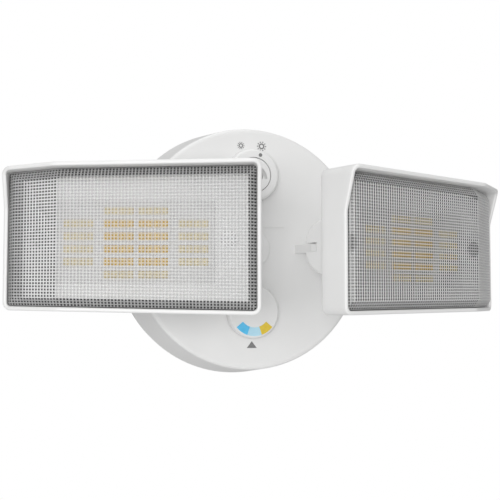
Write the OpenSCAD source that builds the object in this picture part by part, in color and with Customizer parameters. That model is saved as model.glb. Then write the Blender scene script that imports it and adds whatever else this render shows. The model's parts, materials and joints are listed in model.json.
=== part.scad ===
// Twin-head security floodlight for a wall or an outlet box.
// Millimetres. +Z is up, the light faces -Y and the wall is the plane y = 0.
// The origin is the centre of the back of the round canopy.
// Each head turns about a vertical screw in a canopy lug and tilts about a
// horizontal screw inside its knuckle. Two dials set brightness and colour.

/* [Canopy] */
// outside diameter of the round canopy
canopy_d = 130; // [110:1:150]
// distance from the wall to the front face of the canopy
canopy_depth = 36; // [30:0.5:40]
// how much wider the canopy is at the wall
flare = 3; // [0:0.25:4]
// thickness of the foam wall gasket
gasket_t = 5; // [2:0.5:7]
// wall thickness of the canopy moulding
canopy_wall = 2.4; // [2:0.1:4]
// radius of the rounded front edge
edge_r = 2; // [1:0.25:3]

/* [Dials] */
// height of the brightness dial above the centre
bright_z = 39.4; // [34:0.1:42]
// depth of the colour dial below the centre
colour_z = 34; // [30:0.5:40]
// radius of both dials
dial_r = 14.3; // [12:0.1:16]
// how far the dials stand out of the canopy
dial_h = 4.6; // [3:0.1:7]
// radius of the plain cap over the mounting screw
cap_r = 10.2; // [8:0.1:12]

/* [Knuckles] */
// sideways distance of each tilt axis centre at rest
pivot_x = 39; // [37:0.5:42]
// distance of each tilt axis centre from the wall at rest
pivot_y = 65; // [60:0.5:70]
// outward turn of each head at rest, degrees
yaw = 18; // [10:1:24]
// distance from the tilt screw back to the turning screw
yaw_back = 11; // [10.5:0.25:12]
// radius of the round knuckle
drum_r = 14.5; // [13:0.25:16]
// how far the drum sits behind the tilt screw
drum_shift = 4; // [0:0.5:5]
// half the length of the round knuckle
drum_half = 9; // [8:0.25:10]
// thickness of the canopy lug
lug_t = 4.4; // [4:0.1:6]
// radius of the turning screw
yaw_screw_r = 2; // [1.5:0.1:2.5]
// radius of the tilt screw
tilt_screw_r = 1.9; // [1.5:0.1:2.5]

/* [Heads] */
// distance from the tilt axis to the inner end of a head
head_in = 31.5; // [28:0.5:34]
// distance from the tilt axis to the outer end of a head
head_out = 89.5; // [84:0.5:94]
// height of a head
head_h = 71.5; // [66:0.5:76]
// share of the height lost towards the outer end
taper = 0.06; // [0:0.01:0.1]
// distance from the tilt axis to the back of a head
head_back = 20.5; // [18:0.5:22]
// distance from the tilt axis to the front rim of a head
head_front = 38.5; // [37:0.5:42]
// rim thickness
rim_t = 2; // [1.6:0.1:3]
// corner radius of the rim
corner_r = 4; // [3:0.25:6]
// how far the hood stands out at the top
hood = 6.5; // [3:0.25:8]
// height at which the hood cheeks start
hood_z = 14; // [5:0.5:20]
// where the outer end of the face folds back
kink_x = 62; // [58:0.5:66]
// fold angle of the outer end, degrees
fold = 25; // [15:1:28]
// how far the lens face stands proud of the rim
lens_proud = 1.2; // [0:0.1:3]
// lens wall thickness
lens_t = 1.6; // [1.2:0.1:2.5]

/* [Hidden] */
$fn = 64;
canopy_r = canopy_d / 2;
front_y = -canopy_depth;
lug_x = pivot_x - yaw_back * sin(yaw);
lug_y = -pivot_y + yaw_back * cos(yaw);
head_mid = (head_out - head_in) / 2;
board_x = head_mid - 1.7;
sill_z = -2.1;
base_screw = 45.6;
taper_a = atan(taper * head_h / 2 / (head_in + head_out));
floor_n = head_back + 2.5;
ledge = 4;
dial_face = front_y - dial_h;
run = 0.06;
white = [0.93, 0.93, 0.92];
steel = [0.72, 0.73, 0.75];
zinc = [0.62, 0.63, 0.64];
clear = [0.85, 0.88, 0.9, 0.35];

// piece to draw, or all

// ---- helpers ----

// cylinder along -Y from distance a to distance b in front of the wall
module rod(r, a, b) {
  translate([0, -a, 0])
    rotate([90, 0, 0])
      cylinder(r = r, h = b - a);
}

// ring along -Y
module ring(ro, ri, a, b) {
  difference() {
    rod(ro, a, b);
    rod(ri, a - 1, b + 1);
  }
}

// box given by its lower and upper corners
module block(lo, hi) {
  translate(lo)
    cube(hi - lo);
}

// flat outline in X and Z pushed along -Y from distance a to b
module push(a, b) {
  translate([0, -a, 0])
    rotate([90, 0, 0])
      linear_extrude(height = b - a)
        children();
}

// rounded slab in X and Z between distances a and b
module slab(x0, x1, zh, r, a, b) {
  block([x0 + r, -b, -zh], [x1 - r, -a, zh]);
  block([x0, -b, -zh + r], [x1, -a, zh - r]);
  for (x = [x0 + r, x1 - r])
    for (z = [-zh + r, zh - r])
      translate([x, 0, z])
        rod(r, a, b);
}

// half the height of a head at a distance along it
function zat(x) = head_h / 2 - tan(taper_a) * (x + head_in);

// head outline set in by g, with corner radius r, between distances a and b
module head_slab(g, r, a, b) {
  x0 = -head_in + g;
  x1 = head_out - g;
  z0 = zat(x0) - g;
  z1 = zat(x1) - g;
  t = atan((z0 - z1) / (x1 - x0 - 2 * r));
  sx = r * sin(t);
  sz = r * cos(t);
  push(a, b)
    polygon([
      [x0, -z0 + r],
      [x0 + r + sx, -z0 + r - sz],
      [x1 - r + sx, -z1 + r - sz],
      [x1, -z1 + r],
      [x1, z1 - r],
      [x1 - r + sx, z1 - r + sz],
      [x0 + r + sx, z0 - r + sz],
      [x0, z0 - r]
    ]);
  for (m = [-1, 1]) {
    translate([x0 + r, 0, m * (z0 - r)])
      rod(r, a, b);
    translate([x1 - r, 0, m * (z1 - r)])
      rod(r, a, b);
  }
}

// turned body about the Y axis from points of radius and distance
module turned(pts) {
  rotate([90, 0, 0])
    rotate_extrude()
      polygon(pts);
}

// put a right-hand piece in place, or its mirror on the left
module side(s) {
  mirror([s < 0 ? 1 : 0, 0, 0])
    translate([pivot_x, -pivot_y, 0])
      rotate([0, 0, yaw])
        children();
}

// ---- canopy ----

module lug() {
  difference() {
    union() {
      translate([lug_x, lug_y, -lug_t / 2])
        cylinder(r = 5.5, h = lug_t);
      translate([0, 0, -lug_t / 2])
        linear_extrude(height = lug_t)
          polygon([
            [lug_x - 11, front_y + 1],
            [lug_x + 11, front_y + 1],
            [lug_x + 7.4, lug_y + 3.4],
            [lug_x + 5.4, lug_y + 1.1],
            [lug_x - 5.4, lug_y + 1.1],
            [lug_x - 7.4, lug_y + 3.4]
          ]);
    }
    translate([lug_x, lug_y, -10])
      cylinder(r = yaw_screw_r + run, h = 20);
  }
}

module canopy_shell() {
  r = canopy_r;
  e = edge_r;
  d = canopy_depth;
  w = canopy_wall;
  difference() {
    turned([
      [0, gasket_t],
      [r + flare, gasket_t],
      [r, d - e],
      [r - e * 0.134, d - e * 0.5],
      [r - e * 0.5, d - e * 0.134],
      [r - e, d],
      [0, d]
    ]);
    turned([
      [0, 0],
      [r - w, 0],
      [r - w, d - w],
      [0, d - w]
    ]);
  }
}

module canopy() {
  d = canopy_depth;
  w = canopy_wall;
  color(white)
    difference() {
      union() {
        canopy_shell();
        lug();
        mirror([1, 0, 0])
          lug();
        // tube round the mounting screw
        rod(5.2, 9.7, d - w + 0.1);
        // rings that carry the dial stems
        translate([0, 0, bright_z])
          rod(9.6, d - w - 3, d - w + 0.1);
        translate([0, 0, -colour_z])
          rod(5.5, d - w - 3, d - w + 0.1);
        // bosses for the back plate screws
        for (a = [30, 150, 270])
          rotate([0, a, 0])
            translate([56, 0, 0])
              rod(3.6, 9.7, d - w + 0.1);
        // bosses for the driver board
        for (a = [45, 135, 225, 315])
          rotate([0, a, 0])
            translate([43, 0, 0])
              rod(2.6, 15.7, d - w + 0.1);
        // ribs behind the lugs
        for (s = [-1, 1])
          block([s * lug_x - 1.2, -(d - w + 0.1), -14], [s * lug_x + 1.2, -(d - 7), 14]);
      }
      // screw tube bore and head recess
      rod(2.4, 0, d + 1);
      rod(4.2, 23.5, d + 1);
      rod(7.4, d - 1.2, d + 1);
      // bores for the dial stems
      translate([0, 0, bright_z])
        rod(7.8 + run, 0, d + 1);
      translate([0, 0, -colour_z])
        rod(3 + run, 0, d + 1);
      // screw pilots
      for (a = [30, 150, 270])
        rotate([0, a, 0])
          translate([56, 0, 0])
            rod(1.3, 0, 20);
      for (a = [45, 135, 225, 315])
        rotate([0, a, 0])
          translate([43, 0, 0])
            rod(1, 0, 21);
    }
}

module wall_gasket() {
  color([0.55, 0.56, 0.57])
    ring(canopy_r + flare - 0.7, canopy_r - 8, 0, gasket_t);
}

module back_plate() {
  color([0.85, 0.85, 0.84])
    difference() {
      union() {
        rod(canopy_r - canopy_wall - 0.3, 7.7, 9.7);
        ring(canopy_r - canopy_wall - 0.3, canopy_r - canopy_wall - 2.3, gasket_t + 0.1, 7.8);
      }
      rod(2.6, 0, 12);
      for (a = [30, 150, 270])
        rotate([0, a, 0])
          translate([56, 0, 0])
            rod(1.7, 0, 12);
      translate([-20, 0, -18])
        rod(5, 0, 12);
      // vent slots
      for (x = [12, 18, 24])
        block([x, -12, 14], [x + 2, -6, 30]);
    }
}

module plate_screws() {
  color(steel)
    for (a = [30, 150, 270])
      rotate([0, a, 0])
        translate([56, 0, 0]) {
          rod(2.9, 5.6, 7.7);
          rod(1.3, 7.7, 16);
        }
}

module crossbar() {
  color(zinc)
    difference() {
      union() {
        block([-52, -1.8, -9], [52, 0, 9]);
        rod(5.5, 1.7, 4.5);
        for (s = [-1, 1])
          block([s * 53 - 1, -4.6, -9], [s * 53 + 1, 0, 9]);
      }
      rod(2.35, -1, 6);
      for (s = [-1, 1])
        translate([s * 44.45, 0, 0]) {
          rod(2.2, -1, 3);
          block([-4, -3, -2.2], [4, 1, 2.2]);
          translate([-4, 0, 0])
            rod(2.2, -1, 3);
          translate([4, 0, 0])
            rod(2.2, -1, 3);
        }
      translate([22, 0, 4])
        rod(1.9, -1, 3);
    }
}

module ground_screw() {
  color([0.35, 0.6, 0.35])
    translate([22, 0, 4])
      difference() {
        union() {
          rod(1.85, 0, 1.9);
          rod(4, 1.85, 4);
        }
        block([-3.4, -5, -0.5], [3.4, -3.2, 0.5]);
      }
}

module mount_screw() {
  color(steel)
    difference() {
      union() {
        rod(2.3, 0, 23.6);
        rod(4, 23.55, 26);
      }
      block([-3.4, -27, -0.5], [3.4, -25, 0.5]);
    }
}

module screw_cap() {
  d = canopy_depth;
  color(white)
    difference() {
      union() {
        turned([
          [0, d],
          [cap_r, d],
          [cap_r, d + 0.9],
          [cap_r - 0.3, d + 1.4],
          [cap_r - 0.9, d + 1.6],
          [0, d + 1.6]
        ]);
        rod(7.3, d - 1.15, d + 0.1);
      }
      rod(5, d - 2, d - 0.2);
    }
}

module blank_plate() {
  d = canopy_depth;
  color(white)
    translate([0, 0, 16.4])
      slab(-20, 20, 4.6, 2, d, d + 0.5);
}

// ---- driver and controls inside the canopy ----

module driver_board() {
  color([0.2, 0.45, 0.28])
    difference() {
      rod(50.5, 14.1, 15.7);
      rod(6, 10, 18);
      for (a = [45, 135, 225, 315])
        rotate([0, a, 0])
          translate([43, 0, 0])
            rod(1.5, 10, 18);
      for (a = [30, 150, 270])
        rotate([0, a, 0])
          translate([56, 0, 0])
            rod(8, 10, 18);
    }
}

module driver_parts() {
  color([0.16, 0.16, 0.18]) {
    // transformer
    block([-34, -24.5, -9], [-14, -15.7, 9]);
    // capacitors
    translate([20, 0, 10])
      rod(5, 15.7, 24.6);
    translate([20, 0, -4])
      rod(4, 15.7, 24);
    // rectifier and control chips
    block([-12, -18.6, 14], [-4, -15.7, 20]);
    block([12, -18, -20], [20, -15.7, -14]);
    block([-30, -18, 16], [-22, -15.7, 24]);
    // terminal block on the wiring side
    block([-30, -14.1, -36], [-12, -10.5, -28]);
  }
}

module brightness_switch() {
  color([0.2, 0.2, 0.22])
    translate([0, 0, bright_z])
      difference() {
        block([-9, -19, -9], [9, -15.7, 9]);
        rod(6.2, 15, 20);
      }
}

module colour_switch() {
  color([0.2, 0.2, 0.22])
    translate([0, 0, -colour_z])
      difference() {
        block([-7, -21, -7], [7, -15.7, 7]);
        rod(3.06, 17, 22);
      }
}

// upper part of a disc, above the flat sill of the light hood
module half_disc(r, a, b) {
  intersection() {
    translate([0, 0, sill_z])
      rod(r, a, b);
    block([-10, -b - 1, sill_z], [10, -a + 1, 12]);
  }
}

module photocell_insert() {
  f = dial_face;
  color(white)
    translate([0, 0, bright_z])
      difference() {
        union() {
          rod(9.1, canopy_depth + 1.4, -f - 0.2);
          rod(5.9, 15.75, canopy_depth + 1.5);
        }
        // scooped light hood, flat below and round above
        intersection() {
          translate([0, f + 0.2, sill_z])
            sphere(r = 7.4);
          block([-10, f - 4, sill_z], [10, f + 12, 12]);
        }
        // seat of the window
        half_disc(4.62, -f - 7, -f - 5);
        // board side relief
        rod(3, 15, 24);
      }
}

module photocell_window() {
  f = dial_face;
  color([0.25, 0.26, 0.3])
    translate([0, 0, bright_z])
      half_disc(4.6, -f - 6.9, -f - 5.2);
}

// small suns printed beside the brightness dial
module sun(r, n) {
  difference() {
    circle(r = r * 0.62);
    circle(r = r * 0.36);
  }
  for (i = [0 : n - 1])
    rotate(i * 360 / n)
      translate([r * 0.76, -r * 0.1])
        square([r * 0.28, r * 0.2]);
}

module sun_marks() {
  m = dial_r + 3;
  color([0.5, 0.5, 0.5])
    push(canopy_depth, canopy_depth + 0.15)
      for (k = [[-21, 1.95], [19, 2.55]])
        translate([m * sin(k[0]), bright_z + m * cos(k[0])])
          sun(k[1], 10);
}

module pointer_mark() {
  color([0.5, 0.5, 0.5])
    translate([0, 0, -colour_z - dial_r - 1.4])
      push(canopy_depth, canopy_depth + 0.15)
        polygon([[0, 0], [2.8, -3.6], [-2.8, -3.6]]);
}

module wire_grommet() {
  color([0.12, 0.12, 0.13])
    translate([-20, 0, -18])
      difference() {
        union() {
          rod(4.95, 7.7, 9.7);
          rod(6.6, 6.2, 7.7);
          rod(6.6, 9.7, 11);
        }
        rod(3.5, 5, 12);
      }
}

module brightness_ring() {
  d = canopy_depth + 0.4;
  t = canopy_depth + dial_h;
  color(white)
    translate([0, 0, bright_z])
      difference() {
        union() {
          turned([
            [7, d],
            [dial_r, d],
            [dial_r - 0.2, t - 1.2],
            [dial_r - 0.6, t - 0.4],
            [dial_r - 1.3, t],
            [9.5, t],
            [9.5, d + 1],
            [7, d + 1]
          ]);
          ring(7.8, 6.1, 19.1, d + 1);
        }
      }
}

module ring_dot() {
  t = canopy_depth + dial_h;
  color([0.5, 0.5, 0.5])
    translate([0, 0, bright_z])
      rotate([0, 17.5, 0])
        translate([0, 0, 11.3])
          rod(1, t, t + 0.12);
}

module colour_knob() {
  d = canopy_depth + 0.4;
  t = canopy_depth + dial_h;
  color(white)
    translate([0, 0, -colour_z])
      turned([
        [0, 17.2],
        [3, 17.2],
        [3, d],
        [dial_r, d],
        [dial_r - 0.2, t - 1.2],
        [dial_r - 0.6, t - 0.4],
        [dial_r - 1.3, t],
        [0, t]
      ]);
}

// a coloured segment of the dial face between two angles from straight down
module arc_piece(a0, a1, c) {
  t = canopy_depth + dial_h;
  color(c)
    translate([0, 0, -colour_z])
      push(t, t + 0.12)
        difference() {
          intersection() {
            circle(r = dial_r * 0.9);
            polygon([
              [0, 0],
              [40 * sin(a0), -40 * cos(a0)],
              [40 * sin(a1), -40 * cos(a1)]
            ]);
          }
          circle(r = dial_r * 0.58);
        }
}

module arc_cool() {
  arc_piece(-51, -18.6, [0.35, 0.73, 0.9]);
}

module arc_neutral() {
  arc_piece(-18.4, 18.4, [0.69, 0.84, 0.9]);
}

module arc_warm() {
  arc_piece(18.6, 51, [0.87, 0.75, 0.25]);
}

// ---- knuckle, drawn about the tilt axis: X along the head, -Y to the front ----

module drum_solid() {
  h = drum_half;
  r = drum_r;
  rotate([0, 90, 0])
    rotate_extrude()
      polygon([
        [0, -h],
        [r - 1.6, -h],
        [r - 0.5, -h + 0.5],
        [r, -h + 1.6],
        [r, h - 1.6],
        [r - 0.5, h - 0.5],
        [r - 1.6, h],
        [0, h]
      ]);
}

module knuckle_solid() {
  difference() {
    union() {
      translate([0, drum_shift, 0])
        drum_solid();
      translate([0, yaw_back, -9])
        cylinder(r = 5.5, h = 18);
    }
    // slot for the canopy lug
    block([-30, yaw_back - 2.5, -lug_t / 2 - 0.3], [30, 40, lug_t / 2 + 0.3]);
    translate([0, yaw_back, -lug_t / 2 - 0.3])
      cylinder(r = 6, h = lug_t + 0.6);
    // slot for the head bracket
    block([-3.2, -30, -20], [3.2, 0, 20]);
    rotate([0, 90, 0])
      translate([0, 0, -3.2])
        cylinder(r = 5.1, h = 6.4);
    // bore and seats of the turning screw
    translate([0, yaw_back, -20])
      cylinder(r = yaw_screw_r + run, h = 40);
    translate([0, yaw_back, 9])
      cylinder(r = 4.2, h = 10);
    translate([0, yaw_back, -19])
      cylinder(r = 4.2, h = 10);
    // bore and seats of the tilt screw
    rotate([0, 90, 0]) {
      translate([0, 0, -6.6])
        cylinder(r = tilt_screw_r + run, h = 20);
      translate([0, 0, drum_half - 2.3])
        cylinder(r = 3.8, h = 10);
      translate([0, 0, -6.4])
        cylinder(r = 3.8, h = 3.3, $fn = 6);
    }
  }
}

module knuckle_inner(s) {
  color(white)
    side(s)
      intersection() {
        knuckle_solid();
        block([-30, -30, -30], [-0.02, 30, 30]);
      }
}

module knuckle_outer(s) {
  color(white)
    side(s)
      intersection() {
        knuckle_solid();
        block([0.02, -30, -30], [30, 30, 30]);
      }
}

module yaw_screw(s) {
  color(steel)
    side(s)
      translate([0, yaw_back, 0])
        difference() {
          union() {
            translate([0, 0, -12])
              cylinder(r = yaw_screw_r, h = 21.1);
            translate([0, 0, 9])
              cylinder(r = 3.6, h = 2.2);
          }
          translate([0, 0, 10])
            cylinder(r = 1.5, h = 3, $fn = 6);
        }
}

module yaw_nut(s) {
  color(steel)
    side(s)
      translate([0, yaw_back, -11.4])
        difference() {
          cylinder(r = 3.9, h = 2.4, $fn = 6);
          translate([0, 0, -1])
            cylinder(r = yaw_screw_r + 0.02, h = 5);
        }
}

module tilt_screw(s) {
  color(steel)
    side(s)
      rotate([0, 90, 0])
        difference() {
          union() {
            translate([0, 0, -6.4])
              cylinder(r = tilt_screw_r, h = drum_half + 4.2);
            translate([0, 0, drum_half - 2.3])
              cylinder(r = 3.5, h = 2.1);
          }
          translate([0, 0, drum_half - 1.4])
            cylinder(r = 1.5, h = 3, $fn = 6);
        }
}

module tilt_nut(s) {
  color(steel)
    side(s)
      rotate([0, 90, 0])
        translate([0, 0, -6.3])
          difference() {
            cylinder(r = 3.7, h = 2.8, $fn = 6);
            translate([0, 0, -1])
              cylinder(r = tilt_screw_r + 0.02, h = 5);
          }
}

// ---- head, drawn about the tilt axis ----

// everything behind a flat front with an optional hood at the top
module behind_flat(n, hd) {
  rotate([90, 0, 90])
    translate([0, 0, -120])
      linear_extrude(height = 260)
        polygon([
          [20, -80],
          [-n, -80],
          [-n, hood_z],
          [-n - hd, head_h / 2],
          [-n - hd, 80],
          [20, 80]
        ]);
}

// the same, with the outer end folded back
module behind(n, hd) {
  intersection() {
    behind_flat(n, hd);
    translate([kink_x, -head_front, 0])
      rotate([0, 0, fold])
        translate([0, head_front, 0])
          behind_flat(n, hd);
  }
}

module housing(s) {
  color(white)
    side(s)
      difference() {
        union() {
          intersection() {
            head_slab(0, corner_r, head_back, head_front + hood + 1);
            behind(head_front, hood);
          }
          // cooling ribs on the back
          for (x = [22 : 6 : 64])
            block([x, -head_back - 0.1, -24], [x + 1.6, -head_back + 3, 24]);
        }
        // deep part of the tray
        head_slab(4.5, 2, floor_n, 60);
        // wide part of the tray in front of the lens ledge
        difference() {
          head_slab(rim_t, corner_r - rim_t, floor_n, 60);
          behind(head_front - ledge, 0);
        }
        // holes for the bracket screws and the cable
        for (z = [-14, 14])
          translate([0, 0, z])
            rod(1.3, 10, 30);
        for (x = [head_mid - base_screw, head_mid + base_screw])
          translate([x, 0, 0])
            rod(1, floor_n - 1.7, 30);
      }
}

module bracket(s) {
  color(white)
    side(s)
      difference() {
        union() {
          slab(-9, 9, 19, 3, 15.4, head_back);
          block([-2.9, -15.5, -4.4], [2.9, 0, 4.4]);
          block([-2.9, -15.5, -8], [2.9, -11.5, 8]);
          rotate([0, 90, 0])
            translate([0, 0, -2.9])
              cylinder(r = 4.6, h = 5.8);
        }
        rotate([0, 90, 0])
          translate([0, 0, -10])
            cylinder(r = tilt_screw_r + run, h = 20);
        for (z = [-14, 14])
          translate([0, 0, z])
            rod(1.7, 10, 30);
      }
}

module bracket_screws(s) {
  color(steel)
    side(s)
      for (z = [-14, 14])
        translate([0, 0, z]) {
          rod(1.28, 15.4, floor_n - 0.1);
          rod(2.8, 13.6, 15.4);
        }
}

// lens outline in plan: straight skirt then sloping ends
module lens_plan(g) {
  n0 = head_front - 2;
  x0 = -head_in + rim_t + 0.25 + g;
  x1 = head_out - rim_t - 0.25 - g;
  translate([0, 0, -80])
    linear_extrude(height = 160)
      polygon([
        [x0, -10],
        [x0, -n0],
        [x0 + 4, -n0 - 4.5],
        [x0 + 4, -60],
        [x1 - 2.5, -60],
        [x1 - 2.5, -floor_n - 5.5],
        [x1, -floor_n - 1],
        [x1, -10]
      ]);
}

// lens outline from the side, as a long bar
module lens_half_bar(g, n, slope, o) {
  n0 = head_front - 2;
  z0 = head_h / 2 - rim_t - 0.25 - g;
  translate([-o, 0, 0])
    rotate([0, taper_a, 0])
      translate([o, 0, 0])
        rotate([90, 0, 90])
          translate([0, 0, -160])
            linear_extrude(height = 320)
              polygon([
                [20, -80],
                [-n, -80],
                [-n, z0 - slope],
                [-n0, z0],
                [20, z0]
              ]);
}

// upper and lower slopes; o is the distance back to the inner end
module lens_bar(g, n, slope, o) {
  intersection() {
    lens_half_bar(g, n, slope, o);
    mirror([0, 0, 1])
      lens_half_bar(g, n, slope, o);
  }
}

// lens outline from the front, with cut corners
module lens_front(g) {
  x0 = -head_in + rim_t + 0.25 + g;
  x1 = head_out - rim_t - 0.25 - g;
  z0 = zat(x0) - rim_t - 0.25 - g;
  z1 = zat(x1) - rim_t - 0.25 - g;
  c = 1.5;
  push(floor_n + 0.1, 60)
    polygon([
      [x0 + c, -z0],
      [x1 - c, -z1],
      [x1, -z1 + c],
      [x1, z1 - c],
      [x1 - c, z1],
      [x0 + c, z0],
      [x0, z0 - c],
      [x0, -z0 + c]
    ]);
}

module lens_body(g, n) {
  intersection() {
    lens_plan(g);
    lens_bar(g, n, 4.2, head_in);
    translate([kink_x, -head_front, 0])
      rotate([0, 0, fold])
        translate([0, head_front, 0])
          lens_bar(g, n, 4.6, kink_x + head_in);
    lens_front(g);
  }
}

module lens(s) {
  color(clear)
    side(s)
      difference() {
        lens_body(0, head_front + lens_proud);
        lens_body(lens_t, head_front + lens_proud - lens_t);
        behind(head_front - ledge + 1, 0);
      }
}

module lens_gasket(s) {
  color([0.45, 0.46, 0.47])
    side(s)
      intersection() {
        difference() {
          head_slab(2.3, 1.6, floor_n + 0.05, 60);
          head_slab(4.4, 1.6, 0, 70);
          behind(head_front - ledge + 0.02, 0);
        }
        behind(head_front - ledge + 0.95, 0);
      }
}

module reflector(s) {
  n0 = floor_n + 1.7;
  color([0.96, 0.96, 0.95])
    side(s)
      difference() {
        intersection() {
          head_slab(5, 1.6, n0, 60);
          behind(head_front - ledge - 0.6, 0);
        }
        // hollow of the tray
        head_slab(6, 1, n0 + 0.9, 60);
        // window round the circuit board
        block([board_x - 37.1, -60, -20.7], [board_x + 37.1, 0, 18.3]);
        for (x = [head_mid - base_screw, head_mid + base_screw])
          translate([x, 0, 0])
            rod(1.3, 0, 60);
      }
}

module heat_plate(s) {
  n0 = floor_n + 0.05;
  color([0.8, 0.81, 0.82])
    side(s)
      difference() {
        head_slab(5, 1.6, n0, n0 + 1.6);
        for (x = [head_mid - base_screw, head_mid + base_screw])
          translate([x, 0, 0])
            rod(1.3, 0, 60);
        translate([0, 0, -22])
          rod(3.2, 0, 60);
      }
}

module led_board(s) {
  n0 = floor_n + 1.7;
  color([0.95, 0.95, 0.94])
    side(s)
      block([board_x - 37, -n0 - 1.1, -20.6], [board_x + 37, -n0, 18.2]);
}

module leds(s) {
  n0 = floor_n + 2.8;
  color([0.95, 0.8, 0.3])
    side(s)
      for (r = [0 : 3])
        for (c = [0 : 7])
          translate([board_x + (c - 3.5) * 3.6 + (c > 3 ? 0.9 : -0.9), -n0, -10.7 + r * 6])
            block([-1.6, -0.7, -1.8], [1.6, 0, 1.8]);
}

// paler chips at the ends of the board and in a row above and below
module pale_leds(s) {
  n0 = floor_n + 2.8;
  color([0.93, 0.87, 0.62])
    side(s) {
      for (r = [0 : 3])
        for (m = [-1, 1])
          for (c = [0 : 3])
            translate([board_x + m * (21.6 + c * 3.6), -n0, -10.7 + r * 6])
              block([-1.6, -0.7, -1.8], [1.6, 0, 1.8]);
      for (z = [-16.7, 13.3])
        for (c = [0 : 7])
          translate([board_x + (c - 3.5) * 3.6 + (c > 3 ? 0.9 : -0.9), -n0, z])
            block([-1.6, -0.7, -1.8], [1.6, 0, 1.8]);
    }
}

module board_screws(s) {
  n0 = floor_n + 2.6;
  color(steel)
    side(s)
      for (x = [head_mid - base_screw, head_mid + base_screw])
        translate([x, 0, 0]) {
          difference() {
            union() {
              rod(0.98, floor_n - 1.6, n0 + 0.1);
              rod(4.2, n0, n0 + 0.5);
              rod(2.4, n0 + 0.45, n0 + 1.8);
            }
            block([-1.5, -n0 - 3, -0.3], [1.5, -n0 - 1.2, 0.3]);
            block([-0.3, -n0 - 3, -1.5], [0.3, -n0 - 1.2, 1.5]);
          }
        }
}

// ---- left and right sets ----

module l_knuckle_inner() { knuckle_inner(-1); }
module l_knuckle_outer() { knuckle_outer(-1); }
module l_yaw_screw() { yaw_screw(-1); }
module l_yaw_nut() { yaw_nut(-1); }
module l_tilt_screw() { tilt_screw(-1); }
module l_tilt_nut() { tilt_nut(-1); }
module l_housing() { housing(-1); }
module l_bracket() { bracket(-1); }
module l_bracket_screws() { bracket_screws(-1); }
module l_lens() { lens(-1); }
module l_lens_gasket() { lens_gasket(-1); }
module l_reflector() { reflector(-1); }
module l_heat_plate() { heat_plate(-1); }
module l_led_board() { led_board(-1); }
module l_leds() { leds(-1); }
module l_pale_leds() { pale_leds(-1); }
module l_board_screws() { board_screws(-1); }
module r_knuckle_inner() { knuckle_inner(1); }
module r_knuckle_outer() { knuckle_outer(1); }
module r_yaw_screw() { yaw_screw(1); }
module r_yaw_nut() { yaw_nut(1); }
module r_tilt_screw() { tilt_screw(1); }
module r_tilt_nut() { tilt_nut(1); }
module r_housing() { housing(1); }
module r_bracket() { bracket(1); }
module r_bracket_screws() { bracket_screws(1); }
module r_lens() { lens(1); }
module r_lens_gasket() { lens_gasket(1); }
module r_reflector() { reflector(1); }
module r_heat_plate() { heat_plate(1); }
module r_led_board() { led_board(1); }
module r_leds() { leds(1); }
module r_pale_leds() { pale_leds(1); }
module r_board_screws() { board_screws(1); }

canopy();
wall_gasket();
back_plate();
plate_screws();
crossbar();
ground_screw();
mount_screw();
screw_cap();
driver_board();
driver_parts();
brightness_switch();
colour_switch();
photocell_insert();
photocell_window();
sun_marks();
pointer_mark();
wire_grommet();
blank_plate();
brightness_ring();
ring_dot();
colour_knob();
arc_cool();
arc_neutral();
arc_warm();
l_knuckle_inner();
l_knuckle_outer();
l_yaw_screw();
l_yaw_nut();
l_tilt_screw();
l_tilt_nut();
l_housing();
l_bracket();
l_bracket_screws();
l_lens();
l_lens_gasket();
l_reflector();
l_heat_plate();
l_led_board();
l_leds();
l_pale_leds();
l_board_screws();
r_knuckle_inner();
r_knuckle_outer();
r_yaw_screw();
r_yaw_nut();
r_tilt_screw();
r_tilt_nut();
r_housing();
r_bracket();
r_bracket_screws();
r_lens();
r_lens_gasket();
r_reflector();
r_heat_plate();
r_led_board();
r_leds();
r_pale_leds();
r_board_screws();
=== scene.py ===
# %% [markdown]
# # Twin-head wall floodlight
# A round white canopy sits flat on a wall. Two hooded lamp heads stand on
# knuckles in front of it, and two dials on the canopy set brightness and
# colour. The CAD frame holds the measured parts. This script gives every
# visible part its finish and swaps a few plain solids for finer surfaces.

# %% Load the measured frame
import json
import math

import bpy
import numpy as np
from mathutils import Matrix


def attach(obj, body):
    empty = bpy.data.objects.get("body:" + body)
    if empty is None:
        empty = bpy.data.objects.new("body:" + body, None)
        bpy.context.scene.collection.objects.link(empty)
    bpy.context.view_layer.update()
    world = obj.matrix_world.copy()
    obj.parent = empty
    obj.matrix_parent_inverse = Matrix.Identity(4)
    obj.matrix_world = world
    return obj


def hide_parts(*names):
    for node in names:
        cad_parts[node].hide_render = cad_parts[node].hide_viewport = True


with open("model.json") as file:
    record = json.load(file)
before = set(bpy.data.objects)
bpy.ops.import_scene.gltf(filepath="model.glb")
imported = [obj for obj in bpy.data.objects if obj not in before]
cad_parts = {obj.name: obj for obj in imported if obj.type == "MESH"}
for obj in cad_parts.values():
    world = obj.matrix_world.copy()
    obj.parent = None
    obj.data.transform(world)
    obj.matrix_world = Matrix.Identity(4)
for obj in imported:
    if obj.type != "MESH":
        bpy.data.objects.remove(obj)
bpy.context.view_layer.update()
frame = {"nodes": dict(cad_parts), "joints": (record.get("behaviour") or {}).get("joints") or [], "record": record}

MM = 0.001

# %% [markdown]
# ## The two head frames
# Each head is easiest to draw in its own frame: x runs along the head away
# from the centre, n is the distance in front of the tilt screw, and z is up.
# The frame comes from the tilt joint, so the pieces land where the CAD says.

# %% Head frames from the tilt joints
joints = {j["name"]: j for j in frame["joints"]}
tilt = joints["right_tilt"]
pivot = np.array(tilt["pos_m"]) / MM
turn_cos, turn_sin = tilt["axis"][0], tilt["axis"][1]
SIDES = {"l": -1, "r": 1}
BODY = {"l": "left_head", "r": "right_head"}


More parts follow.
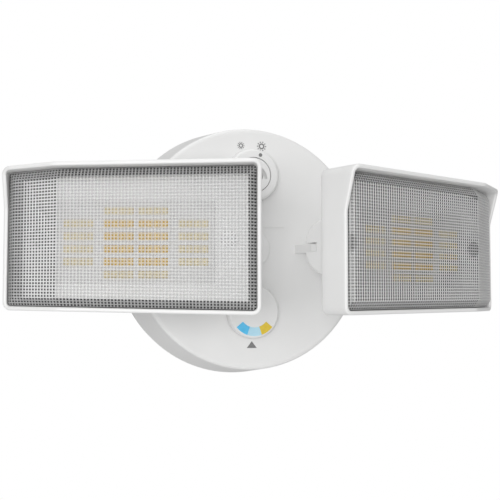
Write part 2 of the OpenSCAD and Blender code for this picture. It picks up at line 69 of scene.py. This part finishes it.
def head_to_row(side, x, n, z):
    """Head coordinates in mm to row coordinates in metres: turn (x, -n) about
    the vertical by the rest angle, add the pivot, and mirror x on the left."""
    sign = SIDES[side]
    wx = pivot[0] + turn_cos * x + turn_sin * n
    wy = pivot[1] + turn_sin * x - turn_cos * n
    return np.stack([sign * wx, wy, z + 0 * wx], axis=-1) * MM


def row_to_head(side, points):
    """Row coordinates in metres to head coordinates x, n, z in mm."""
    p = points / MM
    dx = SIDES[side] * p[:, 0] - pivot[0]
    dy = p[:, 1] - pivot[1]
    return np.stack(
        [
            turn_cos * dx + turn_sin * dy,
            turn_sin * dx - turn_cos * dy,
            p[:, 2],
        ],
        axis=-1,
    )


def mesh_points(node):
    """All vertices of a CAD node as rows of x, y, z in metres."""
    mesh = frame["nodes"][node].data
    flat = np.empty(len(mesh.vertices) * 3)
    mesh.vertices.foreach_get("co", flat)
    return flat.reshape(-1, 3)


shell = row_to_head("r", mesh_points("r_housing"))
glass = row_to_head("r", mesh_points("r_lens"))
print("housing", shell.min(0).round(2), shell.max(0).round(2))
print("lens", glass.min(0).round(2), glass.max(0).round(2))

# %% Sizes of a head, read from its CAD parts
X_IN, X_OUT = shell[:, 0].min(), shell[:, 0].max()
BACK = np.sort(shell[shell[:, 0] < X_IN + 1, 1])[0]
inner_end = shell[shell[:, 0] < X_IN + 0.1]
HALF_IN = shell[:, 2].max()
HOOD_N = shell[:, 1].max()
FRONT = inner_end[inner_end[:, 2] < -20, 1].max()
outer_end = shell[shell[:, 0] > X_OUT - 0.1]
FRONT_OUT = outer_end[outer_end[:, 2] < -20, 1].max()
LENS_X0, LENS_X1 = glass[:, 0].min(), glass[:, 0].max()
LENS_N = glass[:, 1].max()
flat_face = glass[glass[:, 1] > LENS_N - 0.02]
KINK = flat_face[:, 0].max()
FACE_X0 = flat_face[:, 0].min()
FACE_Z = flat_face[flat_face[:, 0] < FACE_X0 + 0.1, 2].max()
LENS_Z = glass[:, 2].max()
print("x", X_IN, X_OUT, "n", BACK, FRONT, FRONT_OUT, HOOD_N)
print("half height", HALF_IN, "fold at", KINK)
print("lens", LENS_X0, LENS_X1, LENS_N, FACE_X0, FACE_Z, LENS_Z)

# %% [markdown]
# ## Finishes
# Moulded plastic is never one flat value: the mould leaves a fine grain and
# the sheen drifts slowly over the part. A photo texture could show that, but
# noise computed from object coordinates needs no file and never stretches.
# One node group makes the drift and the grain, and every finish reuses it
# with its own scale.

# %% Node group for slow drift and fine grain
def surface_group():
    """Group with inputs Scale and Grain Scale and outputs Tone, a slow noise
    from 0 to 1, and Height, a fine noise for a bump."""
    group = bpy.data.node_groups.new("drift_and_grain", "ShaderNodeTree")
    face = group.interface
    for label, value in (("Scale", 20.0), ("Grain Scale", 900.0)):
        socket = face.new_socket(label, in_out="INPUT", socket_type="NodeSocketFloat")
        socket.default_value = value
    for label in ("Tone", "Height"):
        face.new_socket(label, in_out="OUTPUT", socket_type="NodeSocketFloat")
    nodes, links = group.nodes, group.links
    inlet = nodes.new("NodeGroupInput")
    outlet = nodes.new("NodeGroupOutput")
    place = nodes.new("ShaderNodeTexCoord")
    drift = nodes.new("ShaderNodeTexNoise")
    drift.inputs["Detail"].default_value = 4.0
    grain = nodes.new("ShaderNodeTexNoise")
    grain.inputs["Detail"].default_value = 2.0
    for noise, source in ((drift, "Scale"), (grain, "Grain Scale")):
        links.new(place.outputs["Object"], noise.inputs["Vector"])
        links.new(inlet.outputs[source], noise.inputs["Scale"])
    links.new(drift.outputs["Fac"], outlet.inputs["Tone"])
    links.new(grain.outputs["Fac"], outlet.inputs["Height"])
    return group


DRIFT = surface_group()
print("group", DRIFT.name)


# %% One builder for every finish
def finish(
    name, dark, light, rough, metal=0.0, scale=20.0, grain=900.0, bump=0.02, ior=1.5
):
    """Principled finish whose colour runs from dark to light and whose
    roughness runs over the pair rough, both by the slow drift, with the fine
    grain as a bump of so many mm."""
    mat = bpy.data.materials.new(name)
    mat.use_nodes = True
    nodes, links = mat.node_tree.nodes, mat.node_tree.links
    shader = nodes["Principled BSDF"]
    drift = nodes.new("ShaderNodeGroup")
    drift.node_tree = DRIFT
    drift.inputs["Scale"].default_value = scale
    drift.inputs["Grain Scale"].default_value = grain
    ramp = nodes.new("ShaderNodeValToRGB")
    ramp.color_ramp.elements[0].position = 0.3
    ramp.color_ramp.elements[1].position = 0.7
    ramp.color_ramp.elements[0].color = (*dark, 1)
    ramp.color_ramp.elements[1].color = (*light, 1)
    sheen = nodes.new("ShaderNodeMapRange")
    sheen.inputs["To Min"].default_value = rough[0]
    sheen.inputs["To Max"].default_value = rough[1]
    bumps = nodes.new("ShaderNodeBump")
    bumps.inputs["Strength"].default_value = 0.5
    bumps.inputs["Distance"].default_value = bump * MM
    links.new(drift.outputs["Tone"], ramp.inputs["Fac"])
    links.new(ramp.outputs["Color"], shader.inputs["Base Color"])
    links.new(drift.outputs["Tone"], sheen.inputs["Value"])
    links.new(sheen.outputs["Result"], shader.inputs["Roughness"])
    links.new(drift.outputs["Height"], bumps.inputs["Height"])
    links.new(bumps.outputs["Normal"], shader.inputs["Normal"])
    shader.inputs["Metallic"].default_value = metal
    shader.inputs["IOR"].default_value = ior
    return mat


def grey(v):
    """The same value in all three channels."""
    return (v, v, v)


# %% Finishes by the record's slots
# Each row: dark colour, light colour, pair of roughness values, and the rest.
LOOKS = {
    "white_plastic": ((0.78, 0.78, 0.775), (0.81, 0.81, 0.805), (0.38, 0.5), {}),
    "plate_plastic": (grey(0.62), grey(0.68), (0.5, 0.65), {"grain": 500.0, "bump": 0.05}),
    "foam": (grey(0.36), grey(0.46), (0.85, 0.95),
             {"scale": 400.0, "grain": 1600.0, "bump": 0.4}),
    "steel": (grey(0.42), grey(0.52), (0.4, 0.5), {"metal": 1.0, "scale": 150.0}),
    "zinc": ((0.42, 0.43, 0.44), (0.56, 0.57, 0.58), (0.35, 0.55),
             {"metal": 1.0, "scale": 180.0, "bump": 0.05}),
    "green_screw": ((0.08, 0.26, 0.09), (0.12, 0.34, 0.12), (0.3, 0.4),
                    {"metal": 0.6, "scale": 200.0}),
    "board": ((0.02, 0.11, 0.04), (0.03, 0.16, 0.06), (0.3, 0.4), {"scale": 120.0}),
    "dark_parts": (grey(0.02), grey(0.04), (0.4, 0.6), {"scale": 150.0, "bump": 0.05}),
    "smoked_window": ((0.06, 0.06, 0.065), (0.09, 0.09, 0.1), (0.06, 0.12),
                      {"scale": 100.0, "bump": 0.002}),
    "grey_print": (grey(0.17), grey(0.22), (0.5, 0.6), {"scale": 700.0}),
    "blue_print": ((0.09, 0.5, 0.82), (0.12, 0.56, 0.88), (0.35, 0.45), {"scale": 500.0}),
    "pale_blue_print": ((0.43, 0.7, 0.84), (0.48, 0.75, 0.88), (0.35, 0.45),
                        {"scale": 500.0}),
    "yellow_print": ((0.72, 0.52, 0.04), (0.8, 0.6, 0.07), (0.35, 0.45), {"scale": 500.0}),
    "black_rubber": (grey(0.012), grey(0.02), (0.6, 0.75), {"scale": 90.0, "bump": 0.05}),
    # grey_rubber is near black: on the lens seals this is partly painted shade for the lens edges.
    "grey_rubber": (grey(0.025), grey(0.04), (0.6, 0.75), {"scale": 90.0, "bump": 0.05}),
    "reflector_white": (grey(0.9), grey(0.93), (0.25, 0.35), {}),
    "heat_aluminium": (grey(0.3), grey(0.36), (0.6, 0.7), {"metal": 1.0, "scale": 120.0}),
    "led_board_white": (grey(0.76), grey(0.82), (0.3, 0.4), {"scale": 90.0}),
    "led_pale": ((0.85, 0.72, 0.4), (0.9, 0.78, 0.48), (0.35, 0.45), {"scale": 600.0}),
    "led_phosphor": ((0.88, 0.58, 0.1), (0.93, 0.65, 0.14), (0.35, 0.45),
                     {"scale": 600.0}),
}
FINISH = {
    slot: finish(slot, dark, light, rough, **rest)
    for slot, (dark, light, rough, rest) in LOOKS.items()
}
print("finishes", len(FINISH))

# %% [markdown]
# ## The lens material
# The lens is clear moulded plastic. Full refraction through thousands of dimples scatters every path and hides the
# lamps, so the cover lets light straight through by alpha instead. Three finishes share it. The pits have a
# near-black colour, which is painted shade in place of the dark a clear pit shows as it bends the view aside. The
# ridges are near white, which is a painted highlight in place of the light they catch. The inner side is almost
# clear. Each finish grows more opaque as the surface turns away from the viewer, so on the dark pits the slant
# adds painted shade.

# %% Painted-shade pits, painted-highlight ridges and the inner side
# Past this slant to the viewer the lens alphas are full, and with them the painted shade on the pits.
SLANTED = 0.1  # the layer weight at which the alpha has reached its second value


def lens_finish(name, dark, light, rough, alpha, ior=1.3):
    """A finish whose alpha goes from the first to the second value of alpha as the surface tilts away from the
    viewer. On a dark colour this is painted shade that grows with the slant to the viewer, in place of the way a
    prism shows less of what lies behind it at a slant."""
    mat = finish(name, dark, light, rough, scale=60.0, bump=0.004, ior=ior)
    nodes, links = mat.node_tree.nodes, mat.node_tree.links
    slant = nodes.new("ShaderNodeLayerWeight")
    slant.inputs["Blend"].default_value = 0.5
    clear = nodes.new("ShaderNodeMapRange")
    clear.inputs["From Max"].default_value = SLANTED
    clear.inputs["To Min"].default_value = alpha[0]
    clear.inputs["To Max"].default_value = alpha[1]
    links.new(slant.outputs["Facing"], clear.inputs["Value"])
    links.new(clear.outputs["Result"], nodes["Principled BSDF"].inputs["Alpha"])
    return mat


# Pits: a near-black colour that turns more opaque at a slant. This is painted shade in place of the dark a clear
# pit shows.
FINISH["lens_plastic"] = lens_finish(
    "lens_plastic", grey(0.03), grey(0.06), (0.4, 0.5), (0.33, 0.9), 1.15
)
LENS_SKINS = [
    # Ridges: near white. This is a painted highlight in place of the light that the clear ridges catch.
    lens_finish("lens_ridge_painted_highlight", grey(0.9), grey(0.95), (0.3, 0.4), (0.16, 0.44)),
    lens_finish("lens_inside", grey(0.6), grey(0.7), (0.3, 0.4), (0.02, 0.1)),
]

for row in frame["record"]["subparts"]:
    node = frame["nodes"][row["node"]]
    if not node.material_slots:
        node.data.materials.append(None)
    for place in node.material_slots:
        place.material = FINISH[row["material_slot"]]

# %% [markdown]
# ## Making a mesh from arrays
# Every new piece is a grid or a ring of points worked out with numpy. The
# helper below puts points and faces into a mesh, names the slot and makes
# the piece ride on its body, so each later cell only has to do its shape.

# %% Helper that turns arrays into a riding piece
def make_piece(
    name, points, faces, slot, body, smooth=True, angle=35.0, skins=(), picks=None
):
    """Mesh from an array of points and a list of faces, shaded smooth except
    across edges sharper than angle degrees. Further finishes come in skins,
    and picks says which finish each face takes."""
    mesh = bpy.data.meshes.new(name)
    mesh.from_pydata(points.reshape(-1, 3), [], faces)
    mesh.materials.append(FINISH[slot])
    for skin in skins:
        mesh.materials.append(skin)
    if picks is not None:
        mesh.polygons.foreach_set("material_index", picks.astype(np.int32))
    if smooth:
        mesh.shade_smooth()
        mesh.set_sharp_from_angle(angle=math.radians(angle))
    piece = bpy.data.objects.new(name, mesh)
    bpy.context.scene.collection.objects.link(piece)
    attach(piece, body)
    print(name, len(mesh.vertices), "points", len(mesh.polygons), "faces")
    return piece


def grid_faces(rows, cols, start=0, wrap=False, flip=False):
    """Quads between neighbouring rows and columns of a grid of points; wrap
    joins the last column to the first."""
    across = np.arange(cols if wrap else cols - 1)
    i, j = np.meshgrid(np.arange(rows - 1), across, indexing="ij")
    k = (j + 1) % cols
    near, far = i * cols, (i + 1) * cols
    quads = np.stack([near + j, far + j, far + k, near + k], -1).reshape(-1, 4) + start
    return quads[:, ::-1] if flip else quads


def end_caps(rows, cols, flip):
    """Two faces that close the first and the last ring of a wrapped grid."""
    caps = [list(range(cols)), list(range((rows - 1) * cols, rows * cols))[::-1]]
    return [cap[::-1] if flip else cap for cap in caps]


def border_loop(rows, cols):
    """Indices of a grid's border points, once round."""
    ids = np.arange(rows * cols).reshape(rows, cols)
    return np.concatenate([ids[:-1, 0], ids[-1, :-1], ids[:0:-1, -1], ids[0, :0:-1]])


def repeat_faces(faces, count, stride):
    """The same faces for count copies whose points are stride apart."""
    return [[v + c * stride for v in face] for c in range(count) for face in faces]


# %% [markdown]
# ## Head housings
# A housing is a shallow white tray with a soft rim, a hood that grows
# towards the top, and a front that folds back at the outer end. A box with
# boolean cuts leaves hard edges, so the skin is a profile carried round the
# tapered outline instead, and the depth of its front follows one formula.

# %% Outline of a head
CORNER = 4.0  # corner radius of a head
slope_band = shell[abs(shell[:, 0] - (X_OUT - CORNER)) < 0.2]
TAPER = (HALF_IN - slope_band[:, 2].max()) / (X_OUT - X_IN - 2 * CORNER)
FOLD_X = shell[(shell[:, 1] > FRONT - 0.05) & (shell[:, 2] < -20), 0].max()
FOLD = math.atan2(FRONT - FRONT_OUT, X_OUT - FOLD_X)
HOOD = HOOD_N - FRONT
HOOD_Z = shell[(abs(shell[:, 1] - FRONT) < 0.05) & (shell[:, 2] < 30), 2].max()
print("taper", TAPER, "fold", FOLD_X, math.degrees(FOLD), "hood", HOOD, HOOD_Z)


def half_height(x):
    """Half the height of a head: it falls steadily towards the outer end."""
    return HALF_IN - TAPER * (x - X_IN)


def head_outline(inset, arc=10, upright=45, along=75):
    """Closed tapered outline set in by inset, as x and z: arc points on each
    corner, upright or along points on each side. The corner radius shrinks
    by the inset, so every call has the same number of points."""
    radius = max(CORNER - inset, 0.4)
    x0, x1 = X_IN + inset, X_OUT - inset
    z0, z1 = half_height(x0) - inset, half_height(x1) - inset
    tip = math.atan(TAPER)
    corners = [
        (x1 - radius, z1 - radius, 0.0, math.pi / 2 - tip),
        (x0 + radius, z0 - radius, math.pi / 2 - tip, math.pi),
        (x0 + radius, -z0 + radius, math.pi, 1.5 * math.pi + tip),
        (x1 - radius, -z1 + radius, 1.5 * math.pi + tip, 2 * math.pi),
    ]
    xs, zs = [], []
    for k, (cx, cz, a, b) in enumerate(corners):
        turn = np.linspace(a, b, arc)
        px, pz = cx + radius * np.cos(turn), cz + radius * np.sin(turn)
        nx, nz, na, nb = corners[(k + 1) % 4]
        qx, qz = nx + radius * math.cos(na), nz + radius * math.sin(na)
        t = np.linspace(0, 1, (along, upright)[k % 2] + 2)[1:-1]
        xs += [px, px[-1] + (qx - px[-1]) * t]
        zs += [pz, pz[-1] + (qz - pz[-1]) * t]
    return np.concatenate(xs), np.concatenate(zs)


def carry_round(side, rows):
    """Points of a profile carried round the outline: each row is an inset and
    the depth of every point on that ring."""
    rings = [(head_outline(inset), depth) for inset, depth in rows]
    return np.stack([head_to_row(side, x, depth, z) for (x, z), depth in rings])


def front_depth(x, z, lift, hood):
    """Depth of the front: the lower of the flat face and the folded face,
    both raised by lift and by a hood that grows above the hood line."""
    rise = np.clip((z - HOOD_Z) / (HALF_IN - HOOD_Z), 0, 1)
    height = lift + hood * rise
    folded = (height - (x - FOLD_X) * math.sin(FOLD)) / math.cos(FOLD)
    return FRONT + np.minimum(height, folded)


# %% Housing skin
RIM, LEDGE = 2.0, 4.0  # width of the rim and depth of the lens ledge below it
FLOOR_N = BACK + 2.5  # top of the tray's floor
BACK_SOFT, OUT_SOFT, IN_SOFT = 1.6, 0.9, 0.7  # radii of the softened edges
TRAY = 4.5  # inset of the deep part of the tray


def ledge_depth(x, z):
    """Depth of the ledge that carries the seal and the lens."""
    return np.maximum(front_depth(x, z, -LEDGE, 0.0), FLOOR_N + 0.05)


def housing_skin(side):
    """Profile rows, each an inset from the outline and a depth, carried round
    the outline: soft back edge, side wall, soft rim, inner wall, ledge, and
    the deep tray. Both ends are closed by flat faces."""
    x, z = head_outline(0.0)
    rim = front_depth(x, z, 0.0, HOOD)
    ledge, level = ledge_depth(x, z), np.zeros(len(x))
    arc = [(math.sin(a), math.cos(a)) for a in np.linspace(0, math.pi / 2, 5)]
    rows = [(2 * BACK_SOFT, level + BACK)]
    rows += [(BACK_SOFT * (1 - s), level + BACK + BACK_SOFT * (1 - c)) for s, c in arc]
    rows += [(0.0, BACK + (rim - BACK) * t) for t in (0.3, 0.6, 0.85)]
    rows += [(OUT_SOFT * (1 - c), rim - OUT_SOFT * (1 - s)) for s, c in arc]
    rows += [(RIM - IN_SOFT * (1 - s), rim - IN_SOFT * (1 - c)) for s, c in arc]
    rows += [(RIM, ledge + (rim - IN_SOFT - ledge) * t) for t in (0.6, 0.3)]
    rows += [(RIM, ledge), (TRAY - 0.2, ledge), (TRAY, ledge - 0.2)]
    rows += [(TRAY, level + FLOOR_N)]
    points = carry_round(side, rows)
    flip = side == "r"
    faces = grid_faces(len(rows), len(x), wrap=True, flip=flip).tolist()
    return points, faces + end_caps(len(rows), len(x), flip)


# %% Build both housings
for side in SIDES:
    points, faces = housing_skin(side)
    skin = make_piece(
        f"{side}_housing_skin", points, faces, "white_plastic", BODY[side], angle=50.0
    )
    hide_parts(f"{side}_housing")

# %% [markdown]
# ## Cooling ribs
# Eight upright ribs on the back of a head carry the heat of the lamps away.
# They could be plain boxes, but cast ribs have a rounded crest and sloping
# ends, so each one is a rounded cross-section swept along its height.

# %% Ribs on the back of both housings
RIB_X = 22.8 + 6.0 * np.arange(8)
RIB_HALF, RIB_H = 24.0, 3.0


def cooling_ribs(side):
    """Section points (offset, share of the height) repeated at four heights
    (z, share of the height); the two end sections are a third lower than the
    middle ones. Depth is the back minus height times both shares."""
    half = [(-0.8, -0.05), (-0.8, 0.75), (-0.4, 1.0)]
    section = np.array(half + [(-x, share) for x, share in half[::-1]])
    stations = np.array([
        (-RIB_HALF, 0.65), (1.5 - RIB_HALF, 1.0), (RIB_HALF - 1.5, 1.0), (RIB_HALF, 0.65)
    ])
    x = RIB_X[:, None, None] + section[None, None, :, 0]
    n = BACK - RIB_H * section[None, None, :, 1] * stations[None, :, 1, None]
    z = stations[None, :, 0, None]
    points = head_to_row(side, x + 0 * z, n + 0 * x, z + 0 * x)
    m, k = points.shape[1:3]
    flip = side == "l"
    one = grid_faces(m, k, wrap=True, flip=flip).tolist() + end_caps(m, k, flip)
    return points, repeat_faces(one, len(RIB_X), m * k)


for side in SIDES:
    points, faces = cooling_ribs(side)
    make_piece(f"{side}_cooling_ribs", points, faces, "white_plastic", BODY[side])

# %% [markdown]
# ## Prismatic lenses
# The lens is a clear cover with thousands of small square dimples. A bump
# texture would flicker and would not show at the outline, so the dimples are
# geometry: one grid of points whose depth is the cover's shape minus a pit
# in every cell. The grid lines fall on the cell borders and pit edges.

# %% Grid lines that fall on dimple edges
PITCH, PIT = 1.55, 0.3  # width of a cell and depth of its pit
EDGE = 0.21  # share of a cell on each side of its pit
OUTER_SLOPE = 2.5  # width of the sloping edge at the outer end


def cell_lines(stops):
    """Positions from stop to stop: each stretch is split into whole cells and
    each cell into border, pit edge, pit edge. Also says which are pit edges."""
    out, deep = [], []
    for a, b in zip(stops[:-1], stops[1:]):
        n = max(1, round((b - a) / PITCH))
        starts = a + (b - a) * np.arange(n) / n
        w = (b - a) / n
        cell = [starts, starts + EDGE * w, starts + (1 - EDGE) * w]
        out.append(np.stack(cell, -1).ravel())
        deep.append(np.tile([False, True, True], n))
    out.append(np.array([stops[-1]]))
    deep.append(np.array([False]))
    return np.concatenate(out), np.concatenate(deep)


lens_x, pit_x = cell_lines([LENS_X0, FACE_X0, KINK, LENS_X1 - OUTER_SLOPE, LENS_X1])
lens_v, pit_v = cell_lines([-LENS_Z, -FACE_Z, FACE_Z, LENS_Z])
print("lens grid", len(lens_x), "by", len(lens_v))


# %% Shape of the cover and its dimples
def cover_depth(x, z, limit, lift):
    """Lowest of the flat face, the folded face and the sloping edges, moved
    by lift; limit is the half height of the cover at x."""
    drop = (limit - abs(z)) * (LENS_N - FRONT + 2.0) / (LENS_Z - FACE_Z) - 2.0
    height = np.minimum(LENS_N - FRONT, drop) + lift
    folded = (height - (x - FOLD_X) * math.sin(FOLD)) / math.cos(FOLD)
    inner = FRONT - 2.0 + lift + (x - LENS_X0) * 4.5 / 4.0
    outer = FLOOR_N + 1.0 + lift + (LENS_X1 - x) * 4.5 / OUTER_SLOPE
    return np.minimum(FRONT + np.minimum(height, folded), np.minimum(inner, outer))


def lens_cover(side):
    """Outer grid with dimples, and a smooth inner grid 1.7 mm behind, joined along the border into one closed
    solid. Also gives each face its finish: 0 for a pit, whose dark colour is painted shade, 1 for a ridge, whose
    pale colour is a painted highlight, 2 for the inner side."""
    x, v = np.meshgrid(lens_x, lens_v, indexing="ij")
    limit = LENS_Z - TAPER * (x - LENS_X0)
    z = v * limit / LENS_Z
    pits = pit_x[:, None] & pit_v[None, :]
    base = cover_depth(x, z, limit, 0.0)
    outer = np.where(pits, base - PIT, base)
    seat = np.maximum(front_depth(x, z, -LEDGE + 0.9, 0.0), FLOOR_N + 0.2)
    inner = np.maximum(cover_depth(x, z, limit, -1.7), FLOOR_N + 0.1)
    edge = np.zeros_like(pits)
    edge[0], edge[-1], edge[:, 0], edge[:, -1] = True, True, True, True
    inner[edge] = np.minimum(seat, outer - 0.6)[edge]
    a, b = head_to_row(side, x, outer, z), head_to_row(side, x, inner, z)
    rows, cols = x.shape
    count = rows * cols
    flip = side == "l"
    faces = np.concatenate([
        grid_faces(rows, cols, flip=flip),
        grid_faces(rows, cols, start=count, flip=not flip),
    ])
    loop = border_loop(rows, cols)
    nxt = np.roll(loop, -1)
    wall = np.stack([loop, nxt, nxt + count, loop + count], -1)
    faces = np.concatenate([faces, wall[:, ::-1] if flip else wall])
    low = pits[:-1, :-1] & pits[1:, :-1] & pits[:-1, 1:] & pits[1:, 1:]
    low &= (np.diff(lens_x) > 0.5)[:, None] & (np.diff(lens_v) > 0.5)[None, :]
    skin = np.full(len(faces), 2)
    skin[: low.size] = ~low.ravel()
    return np.concatenate([a.reshape(-1, 3), b.reshape(-1, 3)]), faces.tolist(), skin


# %% Build both lenses
for side in SIDES:
    points, faces, skin = lens_cover(side)
    cover = make_piece(
        f"{side}_lens_cover", points, faces, "lens_plastic", BODY[side],
        smooth=False, skins=LENS_SKINS, picks=skin,
    )
    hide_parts(f"{side}_lens")

# %% [markdown]
# ## Lens seals
# A dark rubber seal lies under the border of each lens. It is seen through the sloping edges of the cover and
# gives them their dark frame. The seal is real, but its near-black colour is also painted shade, in place of the
# shade that the clear sloping edges show themselves. It is a flat band with a lip, carried round the same outline
# as the housing.

# %% Seal under the lens border
def seal_band(side):
    """Profile of inset and depth above the ledge, carried round the outline:
    outer edge, flat top, inner lip turned down, and back underneath."""
    x, z = head_outline(0.0)
    ledge = ledge_depth(x, z)
    outer = [(2.1, 0.05), (2.1, 0.5), (2.4, 0.7)]
    inner = [(5.6, 0.7), (5.9, 0.5), (6.0, 0.0), (5.7, 0.0), (5.5, 0.05)]
    return carry_round(side, [(inset, ledge + h) for inset, h in outer + inner])


for side in SIDES:
    band = seal_band(side)
    m, k = band.shape[:2]
    faces = (grid_faces(m + 1, k, wrap=True, flip=side == "r") % (m * k)).tolist()
    # The seal's near-black colour is partly painted shade for the lens edges.
    seal = make_piece(f"{side}_lens_seal_painted_edge_shade", band, faces, "grey_rubber", BODY[side])
    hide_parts(f"{side}_lens_gasket")

# %% [markdown]
# ## Lamp chips
# Each head has four rows of eight lamp chips with yellow phosphor gel, and
# paler chips around them. A chip could stay a plain block, but real gel is a
# soft pillow, so its height is a product of two curves that are flat in the
# middle and fall off at the edges.

# %% Phosphor pillows on the chip places
CHIP = np.array([1.6, 1.8])  # half width and half height of a chip


def chip_places(side, node):
    """Centres of the chips in head coordinates and the depth of their back. A
    corner starts a chip if another one lies a whole chip away
    in both directions."""
    p = np.unique(np.round(row_to_head(side, mesh_points(node)), 3), axis=0)
    low, high = p[:, 1].min(), p[:, 1].max()
    top = p[p[:, 1] > high - 0.1][:, [0, 2]]
    xs, zs = (np.unique(np.round(values, 2)) for values in top.T)
    grid = np.array([(x, z) for x in xs for z in zs])
    corners = grid[np.abs(grid[:, None] - top[None]).max(-1).min(-1) < 0.02]
    gaps = np.abs(corners[None] - corners[:, None] - 2 * CHIP).max(-1)
    return corners[(gaps < 0.05).any(1)] + CHIP, low


def pillows(side, node, lift, n=6):
    """Pillow on every chip: depth is the chip's base plus lift times
    (1 - u^6)(1 - v^6), with u and v from -1 to 1 across the chip, closed by a
    flat face behind."""
    centres, low = chip_places(side, node)
    u = np.linspace(-1, 1, n)
    gu, gv = np.meshgrid(u, u, indexing="ij")
    depth = low + 0.02 + lift * (1 - gu**6) * (1 - gv**6)
    x = centres[:, 0, None, None] + CHIP[0] * gu
    z = centres[:, 1, None, None] + CHIP[1] * gv
    points = head_to_row(side, x, depth + 0 * x, z).reshape(-1, 3)
    one = grid_faces(n, n, flip=side == "l").tolist()
    base = border_loop(n, n).tolist()
    one.append(base if side == "l" else base[::-1])
    return points, repeat_faces(one, len(centres), n * n)


for side in SIDES:
    for node, slot in (("leds", "led_phosphor"), ("pale_leds", "led_pale")):
        points, faces = pillows(side, f"{side}_{node}", 0.7)
        gel = make_piece(f"{side}_{node}_gel", points, faces, slot, BODY[side])
        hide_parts(f"{side}_{node}")

# %% [markdown]
# ## Floor, light and camera
# The light hangs on a wall, so the pale floor is far below it. An even sky
# gives the soft studio look. It is plain white where the camera sees it, and
# weaker as a light. A small panel low on the left gives the shading across
# the canopy, a large one in front fills in, and one above lights the hoods.

# %% Floor
floor_mat = finish("pale_floor", grey(0.87), grey(0.91), (0.6, 0.7), scale=3.0, grain=60.0)
floor_mesh = bpy.data.meshes.new("floor")
corners = [(x * 1.5, y * 1.5, -0.6) for x, y in ((-1, -1), (1, -1), (1, 1), (-1, 1))]
floor_mesh.from_pydata(corners, [], [(0, 1, 2, 3)])
floor_mesh.materials.append(floor_mat)
floor = bpy.data.objects.new("floor", floor_mesh)
bpy.context.scene.collection.objects.link(floor)
print("floor at", corners[0][2], "m")


# %% Sky and panels
world = bpy.data.worlds.new("studio_sky")
bpy.context.scene.world = world
world.use_nodes = True
nodes, links = world.node_tree.nodes, world.node_tree.links
sky = nodes["Background"]
backdrop = nodes.new("ShaderNodeBackground")
backdrop.inputs["Color"].default_value = (1, 1, 1, 1)
backdrop.inputs["Strength"].default_value = 1.0
sky.inputs["Color"].default_value = (1, 1, 1, 1)
sky.inputs["Strength"].default_value = 0.38
path = nodes.new("ShaderNodeLightPath")
blend = nodes.new("ShaderNodeMixShader")
links.new(path.outputs["Is Camera Ray"], blend.inputs["Fac"])
links.new(sky.outputs["Background"], blend.inputs[1])
links.new(backdrop.outputs["Background"], blend.inputs[2])
links.new(blend.outputs["Shader"], nodes["World Output"].inputs["Surface"])


def panel(name, spot, target, size, power):
    """Square soft light at spot facing target, in metres and watts."""
    data = bpy.data.lights.new(name, "AREA")
    data.size, data.energy = size, power
    lamp = bpy.data.objects.new(name, data)
    bpy.context.scene.collection.objects.link(lamp)
    look = np.array(target) - np.array(spot)
    yaw = math.atan2(-look[0], look[1])
    pitch = math.atan2(look[2], math.hypot(look[0], look[1]))
    lamp.location = spot
    lamp.rotation_euler = (math.pi / 2 + pitch, 0, yaw)
    print(name, size, "m", power, "W")


panel("key_panel", (-0.58, -1.08, 0.0), (0, 0, 0), 0.4, 5.2)
panel("fill_panel", (-0.55, -1.95, 0.6), (0, 0, 0), 2.2, 13.5)
panel("top_panel", (0.0, -0.1, 1.2), (0, 0, 0), 0.9, 5.5)

# %% Camera
TARGET = np.array([11.28, 0.0, 1.64]) * MM
AZIMUTH, ELEVATION, DISTANCE = math.radians(-18.79), math.radians(-3.73), 0.560
FOCAL = 970.6 / 500.0  # focal length as a share of the picture's width
lens_data = bpy.data.cameras.new("camera")
lens_data.sensor_width = 36.0
lens_data.lens = FOCAL * lens_data.sensor_width
lens_data.clip_start, lens_data.clip_end = 0.02, 20.0
camera = bpy.data.objects.new("camera", lens_data)
bpy.context.scene.collection.objects.link(camera)
back = np.array([
    math.sin(AZIMUTH) * math.cos(ELEVATION),
    -math.cos(AZIMUTH) * math.cos(ELEVATION),
    math.sin(ELEVATION),
])
camera.location = TARGET + back * DISTANCE
camera.rotation_euler = (math.pi / 2 - ELEVATION, 0, AZIMUTH)
bpy.context.scene.camera = camera
bpy.context.scene.view_settings.view_transform = "Standard"
print("camera at", camera.location)
